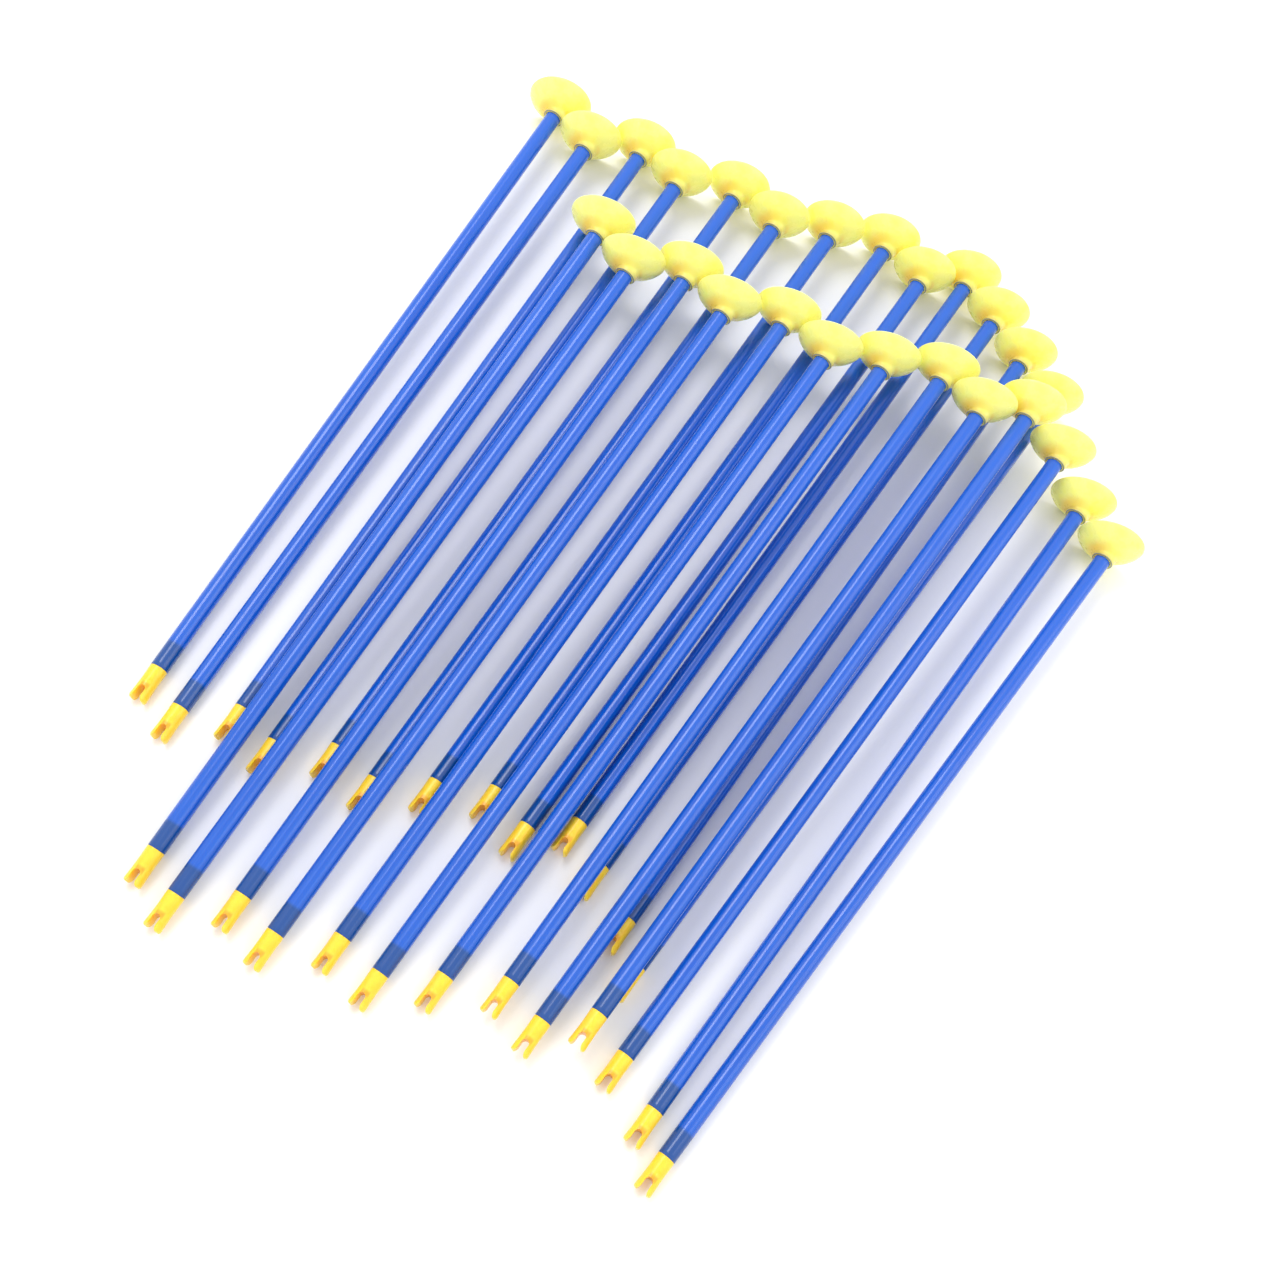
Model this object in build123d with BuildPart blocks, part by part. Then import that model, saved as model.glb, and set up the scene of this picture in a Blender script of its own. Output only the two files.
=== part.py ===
from build123d import *
import os
from math import asin, cos, degrees, radians, sin, sqrt

# ---------------------------------------------------------------------------
# A bundle of toy suction-cup arrows laid out in two overlapping fans.
# Every arrow is three pieces: an extruded plastic tube (the shaft), a soft
# suction cup whose neck socket holds one end of the tube, and a moulded nock
# whose spigot plugs the other end.
#
# Frame: +Z up, the arrows lie on the plane Z = 0, +Y is the direction that
# the arrows point (nock to cup), and the origin is at the bottom centre of
# the whole bundle.
# ---------------------------------------------------------------------------

# Shaft: extruded tube
TUBE_OD = 8.0
TUBE_WALL = 0.8
SHOULDER_TO_MOUTH = 352.0  # visible tube, nock shoulder to the cup's neck mouth
SOCKET_DEPTH = 6.5  # tube length hidden in the cup's neck
TUBE_END_CHAMFER = 0.25

# Nock: moulded plug with a string slot
NOCK_LENGTH = 16.5  # outside the tube, shoulder to prong tips
NOCK_OD = 7.9
SPIGOT_LENGTH = 13.0
SPIGOT_CLEARANCE = 0.03
SPIGOT_LEAD_IN = 0.8
STRING_SLOT_WIDTH = 3.4
STRING_SLOT_DEPTH = 6.4
SLOT_MOUTH_FLARE = 1.0
PRONG_TIP_RADIUS = 0.9
STRING_SLOT_TURN = 8.0  # degrees about the arrow's axis

# Suction cup: neck socket plus a bell that leans on its soft neck
NECK_RADIUS = 5.4
NECK_LENGTH = 4.6  # its end is buried in the bell
MOUTH_ROUND = 0.5
BELL_PIVOT = 3.0  # from the neck mouth along the shaft's axis
BELL_LEAN = 13.0  # degrees, about the vertical through the pivot
BELL_DEPTH = 10.0  # pivot to rim plane
RIM_RADIUS = 16.5
RIM_LIP = 0.7
DISH_RADIUS = 15.8
DISH_DEPTH = 4.1
STUB_RADIUS = 3.9  # bell material buried in the neck
STUB_BEHIND_PIVOT = 1.0
SOCKET_CLEARANCE = 0.02
SOCKET_END_GAP = 0.1

# Where each arrow lies: X and Y of the nock's shoulder, heading in degrees
# clockwise from +Y, axis height at the shoulder and axis height at the neck
# mouth. The lower fan lies on the floor, the upper fan rests on its shafts.
ARROWS = [
    ("lower", (-142.59, -164.48, -5.44, 4.51, 16.09)),
    ("lower", (-124.33, -172.93, -4.50, 4.51, 16.09)),
    ("lower", (-103.33, -158.08, -3.97, 4.51, 16.09)),
    ("lower", (-83.29, -162.06, -3.20, 4.51, 16.09)),
    ("lower", (-60.71, -148.37, -2.39, 4.51, 16.09)),
    ("lower", (-39.69, -150.84, -1.57, 4.51, 16.09)),
    ("lower", (-17.98, -136.49, -0.89, 4.51, 16.09)),
    ("lower", (4.89, -123.99, -0.18, 4.51, 16.09)),
    ("lower", (24.50, -129.94, 0.66, 4.51, 16.09)),
    ("lower", (41.82, -115.22, 1.17, 4.51, 16.09)),
    ("lower", (60.04, -125.76, 1.88, 4.51, 16.09)),
    ("lower", (81.91, -138.51, 2.09, 4.51, 16.09)),
    ("lower", (95.82, -152.77, 3.49, 4.51, 16.09)),
    ("upper", (-93.15, -226.30, -3.19, 5.46, 33.59)),
    ("upper", (-75.01, -236.04, -2.31, 6.14, 33.59)),
    ("upper", (-53.41, -221.32, -1.83, 6.31, 34.09)),
    ("upper", (-33.55, -226.20, -1.02, 6.31, 34.59)),
    ("upper", (-10.79, -212.11, -0.40, 5.31, 33.59)),
    ("upper", (10.16, -215.36, 0.42, 5.33, 33.59)),
    ("upper", (32.40, -201.35, 1.04, 5.30, 33.09)),
    ("upper", (55.81, -188.62, 1.59, 8.71, 34.09)),
    ("upper", (75.15, -194.25, 2.39, 8.19, 34.59)),
    ("upper", (92.73, -179.62, 2.87, 11.62, 35.09)),
    ("upper", (111.21, -186.14, 3.79, 5.05, 27.59)),
    ("upper", (132.81, -197.42, 4.08, 4.52, 16.09)),
    ("upper", (146.39, -210.20, 5.42, 4.52, 16.09)),
]

DISH_SPHERE = (DISH_RADIUS**2 + DISH_DEPTH**2) / (2 * DISH_DEPTH)
TUBE_R = TUBE_OD / 2
BORE_R = TUBE_R - TUBE_WALL
NOCK_R = NOCK_OD / 2
SPIGOT_R = BORE_R - SPIGOT_CLEARANCE
SOCKET_R = TUBE_R + SOCKET_CLEARANCE

os.makedirs("parts", exist_ok=True)


def arrow_axis(spot):
    """Shoulder point, unit axis and a level sideways direction of one arrow."""
    x, y, heading, z_shoulder, z_mouth = spot
    rise = (z_mouth - z_shoulder) / SHOULDER_TO_MOUTH
    level = sqrt(1 - rise**2)
    axis = Vector(sin(radians(heading)) * level, cos(radians(heading)) * level, rise)
    side = Vector(cos(radians(heading)), -sin(radians(heading)), 0)
    return Vector(x, y, z_shoulder), axis, side


def make_shaft(spot):
    shoulder, axis, side = arrow_axis(spot)
    with BuildPart() as shaft:
        with BuildSketch(Plane(origin=shoulder, x_dir=side, z_dir=axis)):
            Circle(TUBE_R)
            Circle(BORE_R, mode=Mode.SUBTRACT)
        extrude(amount=SHOULDER_TO_MOUTH + SOCKET_DEPTH)
        chamfer(shaft.edges().filter_by(GeomType.CIRCLE).sort_by(lambda e: -e.radius)[:2], TUBE_END_CHAMFER)
    return shaft.part


def make_nock(spot):
    shoulder, axis, side = arrow_axis(spot)
    up = side.cross(axis)
    tip = shoulder - axis * NOCK_LENGTH
    # half profile in a plane through the axis: local x outwards, local y along
    # the axis from the prong tips towards the cup
    profile = Plane(origin=tip, x_dir=side, z_dir=side.cross(axis))
    turn = radians(STRING_SLOT_TURN)
    across = side * cos(turn) + up * sin(turn)
    through = up * cos(turn) - side * sin(turn)
    with BuildPart() as nock:
        with BuildSketch(profile):
            with BuildLine():
                Polyline(
                    (0, 0),
                    (NOCK_R - PRONG_TIP_RADIUS, 0),
                    (NOCK_R - PRONG_TIP_RADIUS * 0.3, PRONG_TIP_RADIUS * 0.3),
                    (NOCK_R, PRONG_TIP_RADIUS),
                    (NOCK_R - 0.12, NOCK_LENGTH * 0.55),
                    (NOCK_R, NOCK_LENGTH - 0.3),
                    (NOCK_R - 0.2, NOCK_LENGTH),
                    (SPIGOT_R, NOCK_LENGTH),
                    (SPIGOT_R, NOCK_LENGTH + SPIGOT_LENGTH - SPIGOT_LEAD_IN),
                    (SPIGOT_R - SPIGOT_LEAD_IN * 0.5, NOCK_LENGTH + SPIGOT_LENGTH),
                    (0, NOCK_LENGTH + SPIGOT_LENGTH),
                    (0, 0),
                )
            make_face()
        revolve(axis=Axis(tip, axis))
        # the string slot: a U in side view, flared at the prong tips, cut
        # right through the nock
        with BuildSketch(Plane(origin=tip, x_dir=across, z_dir=through)) as slot:
            with BuildLine():
                half = STRING_SLOT_WIDTH / 2
                deep = STRING_SLOT_DEPTH - half
                Line((-half, SLOT_MOUTH_FLARE * 1.4), (-half, deep))
                ThreePointArc((-half, deep), (0, STRING_SLOT_DEPTH), (half, deep))
                Polyline(
                    (half, deep),
                    (half, SLOT_MOUTH_FLARE * 1.4),
                    (half + SLOT_MOUTH_FLARE * 0.6, -0.5),
                    (-half - SLOT_MOUTH_FLARE * 0.6, -0.5),
                    (-half, SLOT_MOUTH_FLARE * 1.4),
                )
            make_face()
        extrude(amount=NOCK_OD, both=True, mode=Mode.SUBTRACT)
    return nock.part


def make_cup(spot):
    shoulder, axis, side = arrow_axis(spot)
    mouth = shoulder + axis * SHOULDER_TO_MOUTH
    lean = axis.rotate(Axis((0, 0, 0), (0, 0, 1)), BELL_LEAN)
    lean_side = side.rotate(Axis((0, 0, 0), (0, 0, 1)), BELL_LEAN)
    pivot = mouth + axis * BELL_PIVOT
    with BuildPart() as cup:
        # bell, revolved about its own leaning axis
        with BuildSketch(Plane(origin=pivot, x_dir=lean_side, z_dir=lean_side.cross(lean))):
            with BuildLine():
                Line((0, -STUB_BEHIND_PIVOT), (STUB_RADIUS, -STUB_BEHIND_PIVOT))
                Spline(
                    (STUB_RADIUS, -STUB_BEHIND_PIVOT),
                    (5.7, 0.1),
                    (7.4, 1.2),
                    (9.9, 2.6),
                    (12.6, 4.6),
                    (14.7, 6.7),
                    (15.9, 8.5),
                    (RIM_RADIUS, BELL_DEPTH - RIM_LIP),
                    tangents=((1.0, 0.62), (0.25, 1.0)),
                )
                Line((RIM_RADIUS, BELL_DEPTH - RIM_LIP), (RIM_RADIUS, BELL_DEPTH))
                Line((RIM_RADIUS, BELL_DEPTH), (DISH_RADIUS, BELL_DEPTH))
                Polyline((DISH_RADIUS, BELL_DEPTH), (0, BELL_DEPTH), (0, -STUB_BEHIND_PIVOT))
            make_face()
        revolve(axis=Axis(pivot, lean))
        # straight neck, rounded at its mouth
        with BuildSketch(Plane(origin=mouth, x_dir=side, z_dir=side.cross(axis))):
            with BuildLine():
                Line((0, 0), (NECK_RADIUS - MOUTH_ROUND, 0))
                ThreePointArc(
                    (NECK_RADIUS - MOUTH_ROUND, 0),
                    (NECK_RADIUS - MOUTH_ROUND * 0.293, MOUTH_ROUND * 0.293),
                    (NECK_RADIUS, MOUTH_ROUND),
                )
                Polyline((NECK_RADIUS, MOUTH_ROUND), (NECK_RADIUS, NECK_LENGTH), (0, NECK_LENGTH), (0, 0))
            make_face()
        revolve(axis=Axis(mouth, axis))
        # spherical dish
        with Locations(pivot + lean * (BELL_DEPTH - DISH_DEPTH + DISH_SPHERE)):
            Sphere(DISH_SPHERE, mode=Mode.SUBTRACT)
        # blind socket for the tube
        with BuildSketch(Plane(origin=mouth - axis, x_dir=side, z_dir=axis)):
            Circle(SOCKET_R)
        extrude(amount=SOCKET_DEPTH + SOCKET_END_GAP + 1.0, mode=Mode.SUBTRACT)
    return cup.part


def write(part, label):
    part.label = label
    export_step(part, f"parts/{label}.step")


held_cups = []
held_nocks = []
for number, (layer, spot) in enumerate(ARROWS, start=1):
    place = number if layer == "lower" else number - 13
    name = f"{layer}_{place:02d}"
    shaft = make_shaft(spot)
    cup = make_cup(spot)
    nock = make_nock(spot)
    write(shaft, f"{name}_shaft")
    if layer == "lower" and place > 2:
        # lower arrows that the upper fan holds down share one node for their
        # cups and one for their nocks
        held_cups.append(cup)
        held_nocks.append(nock)
    else:
        write(cup, f"{name}_suction_cup")
        write(nock, f"{name}_nock")

write(Compound(label="lower_suction_cups", children=held_cups), "lower_suction_cups")
write(Compound(label="lower_nocks", children=held_nocks), "lower_nocks")
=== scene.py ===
from math import cos, pi, radians, sin, sqrt

import bpy
import numpy as np
from mathutils import Matrix, Vector


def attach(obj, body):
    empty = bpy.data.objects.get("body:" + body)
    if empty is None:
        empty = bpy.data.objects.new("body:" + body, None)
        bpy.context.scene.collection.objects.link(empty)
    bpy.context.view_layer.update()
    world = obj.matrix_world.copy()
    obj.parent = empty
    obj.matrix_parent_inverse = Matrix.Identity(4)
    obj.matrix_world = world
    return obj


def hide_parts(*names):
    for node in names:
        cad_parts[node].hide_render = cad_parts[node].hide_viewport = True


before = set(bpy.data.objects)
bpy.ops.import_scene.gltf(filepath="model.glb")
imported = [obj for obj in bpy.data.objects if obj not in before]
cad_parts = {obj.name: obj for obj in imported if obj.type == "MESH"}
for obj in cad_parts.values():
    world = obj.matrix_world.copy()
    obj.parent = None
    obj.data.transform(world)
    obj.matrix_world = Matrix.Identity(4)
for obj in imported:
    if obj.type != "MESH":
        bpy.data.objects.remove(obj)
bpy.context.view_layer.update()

MM = 0.001

# ---------------------------------------------------------------------------
# The arrows' places: X and Y of the nock's shoulder in mm, heading in degrees
# clockwise from +Y, and the axis height at the shoulder and at the neck mouth.
# ---------------------------------------------------------------------------
ARROWS = [
    ("lower", (-142.59, -164.48, -5.44, 4.51, 16.09)),
    ("lower", (-124.33, -172.93, -4.50, 4.51, 16.09)),
    ("lower", (-103.33, -158.08, -3.97, 4.51, 16.09)),
    ("lower", (-83.29, -162.06, -3.20, 4.51, 16.09)),
    ("lower", (-60.71, -148.37, -2.39, 4.51, 16.09)),
    ("lower", (-39.69, -150.84, -1.57, 4.51, 16.09)),
    ("lower", (-17.98, -136.49, -0.89, 4.51, 16.09)),
    ("lower", (4.89, -123.99, -0.18, 4.51, 16.09)),
    ("lower", (24.50, -129.94, 0.66, 4.51, 16.09)),
    ("lower", (41.82, -115.22, 1.17, 4.51, 16.09)),
    ("lower", (60.04, -125.76, 1.88, 4.51, 16.09)),
    ("lower", (81.91, -138.51, 2.09, 4.51, 16.09)),
    ("lower", (95.82, -152.77, 3.49, 4.51, 16.09)),
    ("upper", (-93.15, -226.30, -3.19, 5.46, 33.59)),
    ("upper", (-75.01, -236.04, -2.31, 6.14, 33.59)),
    ("upper", (-53.41, -221.32, -1.83, 6.31, 34.09)),
    ("upper", (-33.55, -226.20, -1.02, 6.31, 34.59)),
    ("upper", (-10.79, -212.11, -0.40, 5.31, 33.59)),
    ("upper", (10.16, -215.36, 0.42, 5.33, 33.59)),
    ("upper", (32.40, -201.35, 1.04, 5.30, 33.09)),
    ("upper", (55.81, -188.62, 1.59, 8.71, 34.09)),
    ("upper", (75.15, -194.25, 2.39, 8.19, 34.59)),
    ("upper", (92.73, -179.62, 2.87, 11.62, 35.09)),
    ("upper", (111.21, -186.14, 3.79, 5.05, 27.59)),
    ("upper", (132.81, -197.42, 4.08, 4.52, 16.09)),
    ("upper", (146.39, -210.20, 5.42, 4.52, 16.09)),
]

SHOULDER_TO_MOUTH = 352.0
TUBE_R, BORE_R, TUBE_LENGTH = 4.0, 3.2, 358.5
NOCK_LENGTH, NOCK_R = 16.5, 3.95
SPIGOT_R, SPIGOT_LENGTH = 3.17, 13.0
SLOT_WIDTH, SLOT_DEPTH, SLOT_TURN = 3.4, 6.4, 8.0
BELL_PIVOT, BELL_LEAN, BELL_DEPTH = 3.0, 13.0, 10.0
RIM_R, DISH_R, DISH_DEPTH = 16.5, 15.8, 4.1
SOCKET_R, SOCKET_DEPTH = 4.04, 6.58


# ---------------------------------------------------------------------------
# Mesh code. Every template is in one arrow's own axes, in mm: x to the right,
# y up, z towards the cup, from the shoulder (shaft, nock) or the neck mouth
# (cup). Each vertex also carries what its material needs as attributes.
# ---------------------------------------------------------------------------
def revolve(profile, sides, ring_frame=None, closed_loop=False):
    """Quads round the z axis through (radius, z) points. A zero radius makes a pole."""
    verts, rings = [], []
    for r, z in profile:
        if r <= 1e-9:
            centre, ax, ay = (Vector((0, 0, z)), Vector((1, 0, 0)), Vector((0, 1, 0))) if ring_frame is None else ring_frame(r, z)
            rings.append([len(verts)])
            verts.append(centre)
            continue
        centre, ax, ay = (Vector((0, 0, z)), Vector((1, 0, 0)), Vector((0, 1, 0))) if ring_frame is None else ring_frame(r, z)
        ring = []
        for k in range(sides):
            t = 2 * pi * k / sides
            ring.append(len(verts))
            verts.append(centre + ax * (r * cos(t)) + ay * (r * sin(t)))
        rings.append(ring)
    faces = []
    pairs = list(zip(rings, rings[1:]))
    if closed_loop:
        pairs.append((rings[-1], rings[0]))
    for a, b in pairs:
        for k in range(sides):
            k2 = (k + 1) % sides
            if len(a) == 1:
                faces.append((a[0], b[k2], b[k]))
            elif len(b) == 1:
                faces.append((a[k], a[k2], b[0]))
            else:
                faces.append((a[k], a[k2], b[k2], b[k]))
    return np.array([tuple(v) for v in verts], float), faces


def tube_template():
    outer = [(TUBE_R, z) for z in (0.28, 2, 6, 12, 13.2, 20, 40, 80, 130, 180, 230, 280, 320, 345, 351, 355, TUBE_LENGTH - 0.28)]
    profile = [(TUBE_R - 0.07, 0.1), (TUBE_R - 0.25, 0.0), (BORE_R + 0.12, 0.0), (BORE_R, 0.12)]
    profile = profile[::-1] + outer
    profile += [(TUBE_R - 0.07, TUBE_LENGTH - 0.1), (TUBE_R - 0.25, TUBE_LENGTH), (BORE_R + 0.12, TUBE_LENGTH), (BORE_R, TUBE_LENGTH - 0.12)]
    profile += [(BORE_R, z) for z in (300, 200, 100, 14, 7)]
    verts, faces = revolve(profile, 64, closed_loop=True)
    return verts, faces, {}


def bell_frame(r, s):
    """Centre and axes of a cup ring s mm past the neck mouth: the soft neck bends into the leaning bell."""
    w = min(1.0, max(0.0, (s - 1.4) / 2.0))
    w = w * w * (3 - 2 * w)
    lean = radians(BELL_LEAN)
    # the arrow's x axis is to the right, so leaning left is a turn about -y
    direction = Vector((-sin(lean), 0, cos(lean)))
    straight = Vector((0, 0, 1))
    pivot = Vector((0, 0, BELL_PIVOT))
    centre = (1 - w) * straight * s + w * (pivot + direction * (s - BELL_PIVOT))
    axis = ((1 - w) * straight + w * direction).normalized()
    ay = Vector((0, 1, 0))
    ax = ay.cross(axis)
    return centre, ax, ay


def cup_template():
    sides = 96
    profile = [(0, SOCKET_DEPTH), (1.6, SOCKET_DEPTH), (3.2, SOCKET_DEPTH), (SOCKET_R - 0.12, SOCKET_DEPTH), (SOCKET_R, SOCKET_DEPTH - 0.15)]
    profile += [(SOCKET_R, z) for z in (5.0, 3.2, 1.6, 0.6)]
    profile += [(SOCKET_R + 0.03, 0.22), (SOCKET_R + 0.14, 0.05), (SOCKET_R + 0.3, 0.0), (4.75, 0.0), (5.05, 0.06), (5.27, 0.24), (5.37, 0.5)]
    profile += [(5.40, 0.9), (5.38, 1.5), (5.40, 2.1), (5.50, 2.6), (5.72, 3.0)]
    # the bell's back, from where it leaves the neck to the rim
    bell = [(6.15, 3.35), (6.8, 3.75), (7.5, 4.22), (8.4, 4.72), (9.3, 5.22), (10.3, 5.84), (11.4, 6.63), (12.5, 7.49), (13.4, 8.32), (14.2, 9.13), (14.9, 9.92), (15.5, 10.78), (15.9, 11.44), (16.2, 11.93)]
    profile += bell
    rim = BELL_PIVOT + BELL_DEPTH
    profile += [(16.38, rim - 0.72), (16.47, rim - 0.42), (16.48, rim - 0.2), (16.42, rim - 0.05), (16.28, rim), (16.0, rim), (15.86, rim - 0.05), (15.7, rim - 0.11)]
    sphere = (DISH_R ** 2 + DISH_DEPTH ** 2) / (2 * DISH_DEPTH)
    floor = rim - DISH_DEPTH
    for r in (15.2, 14.4, 13.4, 12.2, 10.8, 9.2, 7.6, 6.0, 4.4, 2.9, 1.4, 0):
        profile.append((r, floor + sphere - sqrt(sphere ** 2 - r ** 2)))
    socket = set(range(12))
    verts, rings = [], []
    radius, along = [], []
    for i, (r, z) in enumerate(profile):
        if i in socket:
            centre, ax, ay = Vector((0, 0, z)), Vector((1, 0, 0)), Vector((0, 1, 0))
        else:
            centre, ax, ay = bell_frame(r, z)
        n = 1 if r <= 1e-9 else sides
        ring = []
        for k in range(n):
            t = 2 * pi * k / sides
            ring.append(len(verts))
            v = centre + ax * (r * cos(t)) + ay * (r * sin(t))
            verts.append(tuple(v))
            radius.append(r)
            along.append(-5.0 if i in socket else z)
        rings.append(ring)
    faces = []
    for a, b in zip(rings, rings[1:]):
        for k in range(sides):
            k2 = (k + 1) % sides
            if len(a) == 1:
                faces.append((a[0], b[k2], b[k]))
            elif len(b) == 1:
                faces.append((a[k], a[k2], b[0]))
            else:
                faces.append((a[k], a[k2], b[k2], b[k]))
    return np.array(verts, float), faces, {"ring_radius": np.array(radius), "past_mouth": np.array(along)}


def new_object(name, verts, faces):
    mesh = bpy.data.meshes.new(name)
    mesh.from_pydata([tuple(v) for v in verts], [], faces)
    mesh.update()
    obj = bpy.data.objects.new(name, mesh)
    bpy.context.scene.collection.objects.link(obj)
    return obj


def nock_template():
    """Turned body with a spigot, a string slot cut through it, soft edges and a small moulding dimple."""
    step = [(-NOCK_LENGTH + z) for z in (1.0, 1.6, 2.4, 3.2, 4.0, 4.8, 5.6, 6.4, 7.2, 8.0, 8.4, 8.8, 9.2, 9.6, 10.0, 10.4, 10.8, 11.2, 11.6, 12.0, 12.8, 13.6, 14.4, 15.2, 15.9)]

    def body_radius(z):
        t = (z + NOCK_LENGTH) / NOCK_LENGTH
        return NOCK_R - 0.16 * sin(pi * min(1.0, max(0.0, t))) ** 1.5

    profile = [(0, -NOCK_LENGTH), (1.2, -NOCK_LENGTH), (NOCK_R - 0.95, -NOCK_LENGTH), (NOCK_R - 0.55, -NOCK_LENGTH + 0.12), (NOCK_R - 0.22, -NOCK_LENGTH + 0.4)]
    profile += [(body_radius(z), z) for z in step]
    profile += [(NOCK_R - 0.01, -0.35), (NOCK_R - 0.1, -0.12), (NOCK_R - 0.28, 0.0), (SPIGOT_R, 0.0)]
    profile += [(SPIGOT_R, z) for z in (1.0, 3.0, 6.0, 9.0, 11.4)]
    profile += [(SPIGOT_R - 0.15, 12.3), (SPIGOT_R - 0.42, 12.85), (SPIGOT_R - 0.8, SPIGOT_LENGTH), (1.2, SPIGOT_LENGTH), (0, SPIGOT_LENGTH)]
    verts, faces = revolve(profile, 64)
    # dimple left by the mould's gate, on top at mid-body
    spot = np.array([0.9, 3.8, -7.4])
    d = np.linalg.norm(verts - spot, axis=1)
    near = (d < 1.5) & (np.hypot(verts[:, 0], verts[:, 1]) > 3.0)
    dent = 0.28 * np.cos(np.clip(d / 1.5, 0, 1) * pi / 2) ** 2
    scale = np.where(near, 1 - dent / np.maximum(np.hypot(verts[:, 0], verts[:, 1]), 1e-6), 1.0)
    verts[:, 0] *= scale
    verts[:, 1] *= scale
    # the prongs spread a little towards their tips
    flare = 1 + 0.05 * np.clip(-verts[:, 2] / NOCK_LENGTH, 0, 1) ** 2
    verts[:, 0] *= flare
    verts[:, 1] *= flare
    body = new_object("nock_template", verts * MM, faces)

    half, deep = SLOT_WIDTH / 2, SLOT_DEPTH - SLOT_WIDTH / 2
    outline = [(half + 1.15, -1.2), (half + 0.82, 0.0), (half + 0.42, 0.7), (half + 0.14, 1.4), (half, 2.2), (half, deep)]
    outline += [(half * cos(a), deep + half * sin(a)) for a in np.linspace(0, pi, 17)[1:-1]]
    outline += [(-x, z) for x, z in outline[:6][::-1]]
    turn = radians(SLOT_TURN)
    across, through = Vector((cos(turn), sin(turn), 0)), Vector((-sin(turn), cos(turn), 0))
    cut, n = [], len(outline)
    for end in (-6.0, 6.0):
        for x, z in outline:
            p = across * x + through * end
            cut.append((p.x, p.y, z - NOCK_LENGTH))
    cut_faces = [tuple(range(n))[::-1], tuple(range(n, 2 * n))] + [(k, (k + 1) % n, n + (k + 1) % n, n + k) for k in range(n)]
    cutter = new_object("nock_cutter", np.array(cut) * MM, cut_faces)
    for o in (body, cutter):
        o.data.validate()
    fix_normals(body)
    fix_normals(cutter)
    boolean = body.modifiers.new("slot", "BOOLEAN")
    boolean.operation = "DIFFERENCE"
    boolean.solver = "EXACT"
    boolean.object = cutter
    bevel = body.modifiers.new("soft_edges", "BEVEL")
    bevel.width = 0.16 * MM
    bevel.segments = 2
    bevel.limit_method = "ANGLE"
    bevel.angle_limit = radians(40)
    bpy.context.view_layer.update()
    done = bpy.data.meshes.new_from_object(body.evaluated_get(bpy.context.evaluated_depsgraph_get()))
    verts = np.array([tuple(v.co) for v in done.vertices], float) / MM
    faces = [tuple(p.vertices) for p in done.polygons]
    for o in (body, cutter):
        bpy.data.objects.remove(o)
    return verts, faces, {}


def fix_normals(obj):
    import bmesh

    bm = bmesh.new()
    bm.from_mesh(obj.data)
    bmesh.ops.recalc_face_normals(bm, faces=bm.faces)
    bm.to_mesh(obj.data)
    bm.free()


def placing(spot, past):
    """Origin and axes of an arrow's template, past mm along the arrow from its shoulder."""
    x, y, heading, z_shoulder, z_mouth = spot
    rise = (z_mouth - z_shoulder) / SHOULDER_TO_MOUTH
    level = sqrt(1 - rise ** 2)
    h = radians(heading)
    axis = np.array([sin(h) * level, cos(h) * level, rise])
    side = np.array([cos(h), -sin(h), 0.0])
    up = np.cross(side, axis)
    origin = np.array([x, y, z_shoulder]) + axis * past
    return origin, side, up, axis


def piece(name, template, spots, past, body, nodes, material, sharp=40, seed=0):
    """One mesh from one or more placed copies of a template."""
    verts, faces, extra = template
    all_verts, all_faces, local, tone = [], [], [], []
    offset = 0
    for k, spot in enumerate(spots):
        origin, side, up, axis = placing(spot, past)
        all_verts.append(origin + verts[:, :1] * side + verts[:, 1:2] * up + verts[:, 2:3] * axis)
        all_faces += [tuple(i + offset for i in f) for f in faces]
        local.append(verts)
        tone.append(np.full(len(verts), ((seed + k) * 0.618034) % 1.0))
        offset += len(verts)
    obj = new_object(name, np.concatenate(all_verts) * MM, all_faces)
    mesh = obj.data
    fix_normals(obj)
    mesh.polygons.foreach_set("use_smooth", [True] * len(mesh.polygons))
    mesh.set_sharp_from_angle(angle=radians(sharp))
    a = mesh.attributes.new("local", "FLOAT_VECTOR", "POINT")
    a.data.foreach_set("vector", np.concatenate(local).astype(np.float32).ravel())
    a = mesh.attributes.new("tone", "FLOAT", "POINT")
    a.data.foreach_set("value", np.concatenate(tone).astype(np.float32))
    for key, values in extra.items():
        a = mesh.attributes.new(key, "FLOAT", "POINT")
        a.data.foreach_set("value", np.tile(values, len(spots)).astype(np.float32))
    mesh.materials.append(material)
    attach(obj, body)
    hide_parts(*nodes)
    return obj


# ---------------------------------------------------------------------------
# Materials
# ---------------------------------------------------------------------------
def srgb(r, g, b):
    return tuple(((c / 255) / 12.92 if c / 255 <= 0.04045 else ((c / 255 + 0.055) / 1.055) ** 2.4) for c in (r, g, b)) + (1.0,)


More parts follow.
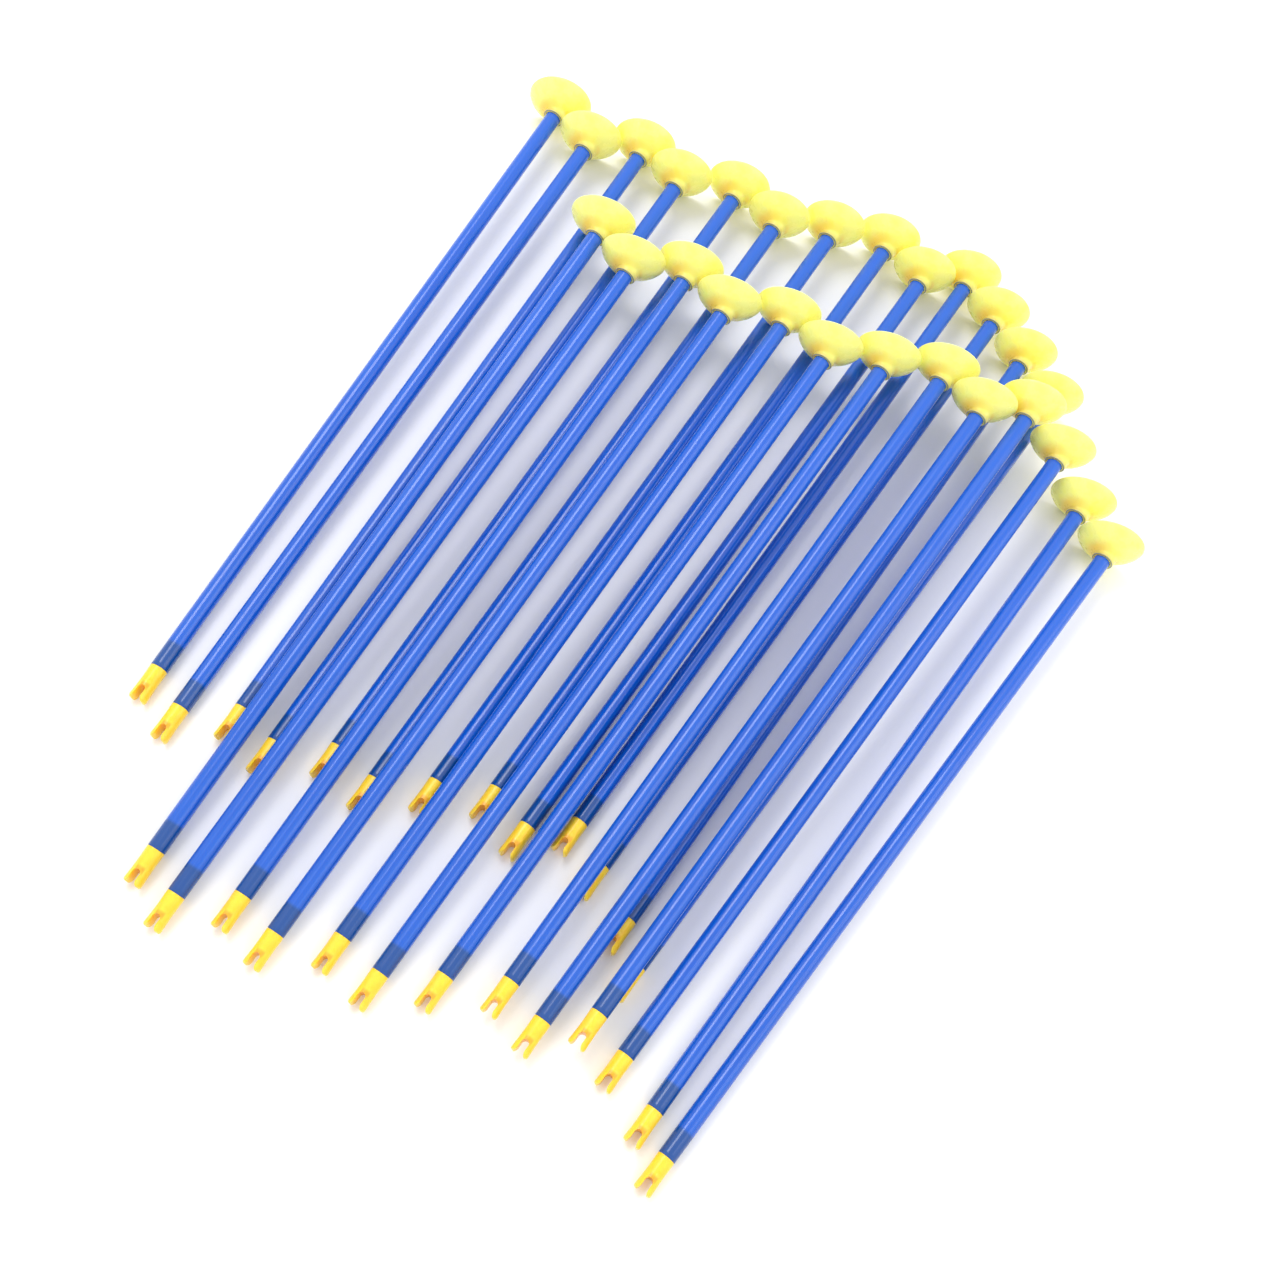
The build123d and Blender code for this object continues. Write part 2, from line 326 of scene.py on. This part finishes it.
class Nodes:
    def __init__(self, name):
        self.material = bpy.data.materials.new(name)
        self.material.use_nodes = True
        self.tree = self.material.node_tree
        self.bsdf = self.tree.nodes["Principled BSDF"]

    def add(self, kind, **settings):
        node = self.tree.nodes.new(kind)
        for key, value in settings.items():
            setattr(node, key, value)
        return node

    def link(self, a, b):
        self.tree.links.new(a, b)

    def attribute(self, name, output="Fac"):
        return self.add("ShaderNodeAttribute", attribute_name=name).outputs[output]

    def split(self, vector):
        node = self.add("ShaderNodeSeparateXYZ")
        self.link(vector, node.inputs[0])
        return node.outputs

    def math(self, operation, a, b=None, c=None):
        node = self.add("ShaderNodeMath", operation=operation)
        for i, v in enumerate((a, b, c)):
            if v is None:
                continue
            if isinstance(v, (int, float)):
                node.inputs[i].default_value = v
            else:
                self.link(v, node.inputs[i])
        return node.outputs[0]

    def remap(self, value, low, high, to_low=0.0, to_high=1.0, kind="SMOOTHSTEP"):
        node = self.add("ShaderNodeMapRange", interpolation_type=kind)
        self.link(value, node.inputs["Value"])
        node.inputs["From Min"].default_value = low
        node.inputs["From Max"].default_value = high
        node.inputs["To Min"].default_value = to_low
        node.inputs["To Max"].default_value = to_high
        return node.outputs["Result"]

    def mix(self, factor, a, b):
        node = self.add("ShaderNodeMix", data_type="RGBA")
        if isinstance(factor, (int, float)):
            node.inputs[0].default_value = factor
        else:
            self.link(factor, node.inputs[0])
        for i, v in ((6, a), (7, b)):
            if isinstance(v, tuple):
                node.inputs[i].default_value = v
            else:
                self.link(v, node.inputs[i])
        return node.outputs[2]

    def noise(self, vector, scale, detail=3.0, rough=0.5):
        node = self.add("ShaderNodeTexNoise")
        node.inputs["Scale"].default_value = scale
        node.inputs["Detail"].default_value = detail
        node.inputs["Roughness"].default_value = rough
        self.link(vector, node.inputs["Vector"])
        return node.outputs["Fac"]

    def stretch(self, vector, scale):
        node = self.add("ShaderNodeMapping")
        self.link(vector, node.inputs["Vector"])
        node.inputs["Scale"].default_value = scale
        return node.outputs["Vector"]

    def bump(self, height, strength, distance):
        node = self.add("ShaderNodeBump")
        node.inputs["Strength"].default_value = strength
        node.inputs["Distance"].default_value = distance
        self.link(height, node.inputs["Height"])
        self.link(node.outputs["Normal"], self.bsdf.inputs["Normal"])

    def set(self, **values):
        for key, value in values.items():
            self.bsdf.inputs[key.replace("_", " ")].default_value = value


def tube_material():
    m = Nodes("blue_tube")
    local = m.attribute("local", "Vector")
    z = m.split(local)[2]
    streak = m.noise(m.stretch(local, (0.9, 0.9, 0.012)), 1.0, 4.0)
    cloud = m.noise(m.stretch(local, (0.2, 0.2, 0.02)), 1.0, 2.0)
    base = m.mix(m.remap(streak, 0.3, 0.7), srgb(4, 88, 206), srgb(12, 104, 220))
    base = m.mix(m.remap(cloud, 0.35, 0.7, 0.0, 0.3), base, srgb(24, 108, 226))
    # the spigot inside darkens and greens the first 13 mm
    plug = m.math("MULTIPLY", m.remap(z, 11.4, 13.4, 1.0, 0.0), m.remap(z, -0.2, 0.4, 0.0, 1.0))
    base = m.mix(m.math("MULTIPLY", plug, 0.7), base, srgb(8, 70, 128))
    # towards the head the tube looks paler where the light runs down it
    base = m.mix(m.remap(z, 120, 352, 0.0, 0.4), base, srgb(40, 116, 236))
    m.link(base, m.bsdf.inputs["Base Color"])
    rough = m.remap(m.noise(m.stretch(local, (1.5, 1.5, 0.05)), 1.0, 3.0), 0.3, 0.7, 0.16, 0.26)
    m.link(rough, m.bsdf.inputs["Roughness"])
    m.set(IOR=1.49, Transmission_Weight=0.25, Coat_Weight=0.2, Coat_Roughness=0.08, Specular_IOR_Level=0.55)
    m.bump(streak, 0.12, 0.0002)
    return m.material


def cup_material():
    m = Nodes("lemon_cup")
    local = m.attribute("local", "Vector")
    x, y, z = m.split(local)[:3]
    r = m.attribute("ring_radius")
    s = m.attribute("past_mouth")
    cloud = m.noise(m.stretch(local, (0.22, 0.22, 0.22)), 1.0, 3.0)
    base = m.mix(m.remap(cloud, 0.35, 0.68), srgb(255, 252, 140), srgb(255, 250, 122))
    # deeper yellow round the neck, most of all to its left
    near = m.remap(r, 5.6, 12.5, 1.0, 0.0)
    leftness = m.remap(x, -9.0, 3.5, 1.0, 0.25)
    rightness = m.math("MULTIPLY", m.remap(x, 3.0, 7.0, 0.0, 0.8), m.remap(r, 6.0, 9.0, 1.0, 0.0))
    patch = m.math("MULTIPLY", near, m.math("MAXIMUM", leftness, rightness))
    base = m.mix(m.math("MULTIPLY", patch, 0.85), base, srgb(247, 196, 44))
    # the blue tube shows through the neck and greys it
    neck = m.math("MULTIPLY", m.remap(s, 3.4, 0.6, 0.0, 1.0), m.remap(s, -1.0, -0.2, 0.0, 1.0))
    base = m.mix(m.math("MULTIPLY", neck, 0.45), base, srgb(150, 150, 110))
    # painted shadow: the mouth is painted dark where the gap round the tube lies in shade
    mouth = m.math("MULTIPLY", m.remap(s, 0.5, 0.05, 0.0, 1.0), m.remap(s, -1.0, -0.2, 0.0, 1.0))
    base = m.mix(m.math("MULTIPLY", mouth, 0.8), base, srgb(70, 90, 120))
    # thin rim
    base = m.mix(m.remap(r, 15.2, 16.5, 0.0, 0.35), base, srgb(255, 252, 150))
    m.link(base, m.bsdf.inputs["Base Color"])
    rough = m.remap(cloud, 0.3, 0.7, 0.24, 0.36)
    m.link(rough, m.bsdf.inputs["Roughness"])
    m.set(IOR=1.5, Subsurface_Weight=0.55, Subsurface_Scale=0.0035, Coat_Weight=0.15, Coat_Roughness=0.2)
    m.bsdf.inputs["Subsurface Radius"].default_value = (1.0, 0.8, 0.25)
    fine = m.noise(m.stretch(local, (2.2, 2.2, 2.2)), 1.0, 2.0)
    m.bump(fine, 0.06, 0.0002)
    return m.material


def nock_material():
    m = Nodes("golden_nock")
    local = m.attribute("local", "Vector")
    x, y, z = m.split(local)[:3]
    cloud = m.noise(m.stretch(local, (0.35, 0.35, 0.2)), 1.0, 3.0)
    base = m.mix(m.remap(cloud, 0.3, 0.7), srgb(255, 214, 52), srgb(253, 204, 42))
    # painted shade deepens the slot's saddle; the prong tips are paler
    saddle = m.math("MULTIPLY", m.remap(z, -12.4, -10.0, 0.0, 1.0), m.remap(z, -9.6, -7.8, 1.0, 0.0))
    inside = m.remap(m.math("ABSOLUTE", x), 1.5, 2.2, 1.0, 0.0)
    base = m.mix(m.math("MULTIPLY", m.math("MULTIPLY", saddle, inside), 0.8), base, srgb(236, 158, 24))
    base = m.mix(m.remap(z, -13.5, -16.5, 0.0, 0.3), base, srgb(255, 226, 96))
    m.link(base, m.bsdf.inputs["Base Color"])
    rough = m.remap(cloud, 0.3, 0.7, 0.28, 0.4)
    m.link(rough, m.bsdf.inputs["Roughness"])
    m.set(IOR=1.5, Subsurface_Weight=0.25, Subsurface_Scale=0.0015, Coat_Weight=0.12, Coat_Roughness=0.15)
    m.bsdf.inputs["Subsurface Radius"].default_value = (1.0, 0.6, 0.2)
    fine = m.noise(m.stretch(local, (3.0, 3.0, 3.0)), 1.0, 2.0)
    m.bump(fine, 0.08, 0.0002)
    return m.material


def floor_material():
    m = Nodes("white_floor")
    m.set(Base_Color=(0.92, 0.92, 0.92, 1.0), Roughness=0.9, Specular_IOR_Level=0.1)
    return m.material


TUBE, CUP, NOCK = tube_template(), cup_template(), nock_template()
BLUE, LEMON, GOLD = tube_material(), cup_material(), nock_material()

held = []
for number, (layer, spot) in enumerate(ARROWS, start=1):
    place = number if layer == "lower" else number - 13
    name = f"{layer}_{place:02d}"
    loose = not (layer == "lower" and place > 2)
    body = f"{layer}_arrow_{place:02d}" if loose else "lower_fan"
    piece(f"{name}_tube", TUBE, [spot], 0.0, body, [f"{name}_shaft"], BLUE, seed=number)
    if loose:
        piece(f"{name}_cup", CUP, [spot], SHOULDER_TO_MOUTH, body, [f"{name}_suction_cup"], LEMON, seed=number)
        piece(f"{name}_tail", NOCK, [spot], 0.0, body, [f"{name}_nock"], GOLD, 30, seed=number)
    else:
        held.append(spot)
piece("lower_cups", CUP, held, SHOULDER_TO_MOUTH, "lower_fan", ["lower_suction_cups"], LEMON)
piece("lower_tails", NOCK, held, 0.0, "lower_fan", ["lower_nocks"], GOLD, 30)

# ---------------------------------------------------------------------------
# Floor, light and camera
# ---------------------------------------------------------------------------
floor = new_object("floor", np.array([(-4, -4, 0), (4, -4, 0), (4, 4, 0), (-4, 4, 0)]), [(0, 1, 2, 3)])
floor.location = (0, 0, 0)
floor.data.materials.append(floor_material())

world = bpy.data.worlds.new("studio")
world.use_nodes = True
world.node_tree.nodes["Background"].inputs["Color"].default_value = (1.0, 1.0, 1.0, 1.0)
world.node_tree.nodes["Background"].inputs["Strength"].default_value = 1.12
bpy.context.scene.world = world

# the camera stands 625 mm above the floor over the nock end and is rolled
CAMERA_PLACE = Vector((0.060990, -0.312040, 0.625449))
CAMERA_RIGHT = Vector((0.828250, 0.531132, 0.178606))
CAMERA_UP = Vector((-0.555759, 0.737852, 0.383022))
CAMERA_LOOK = Vector((-0.071651, 0.416500, -0.906308))
camera_data = bpy.data.cameras.new("camera")
camera_data.sensor_width = 36.0
camera_data.lens = 36.0 * 1500.0 / 1263.0
camera_data.clip_start = 0.01
camera = bpy.data.objects.new("camera", camera_data)
turn = Matrix((CAMERA_RIGHT, CAMERA_UP, -CAMERA_LOOK)).transposed().to_4x4()
camera.matrix_world = Matrix.Translation(CAMERA_PLACE) @ turn
bpy.context.scene.collection.objects.link(camera)
bpy.context.scene.camera = camera


def softbox(name, where, target, size, power):
    data = bpy.data.lights.new(name, "AREA")
    data.shape = "RECTANGLE"
    data.size, data.size_y = size
    data.energy = power
    lamp = bpy.data.objects.new(name, data)
    lamp.location = where
    lamp.rotation_euler = (Vector(target) - Vector(where)).to_track_quat("-Z", "Y").to_euler()
    bpy.context.scene.collection.objects.link(lamp)
    return lamp


centre = Vector((0.0, 0.02, 0.0))
softbox("key", centre + CAMERA_UP * 0.75 - CAMERA_RIGHT * 0.35 + Vector((0, 0, 1.15)), centre, (0.9, 0.6), 9.0)
softbox("fill", centre + CAMERA_RIGHT * 1.0 - CAMERA_UP * 0.3 + Vector((0, 0, 0.9)), centre, (0.9, 0.9), 3.0)

bpy.context.scene.view_settings.view_transform = "Standard"
bpy.context.scene.view_settings.look = "None"
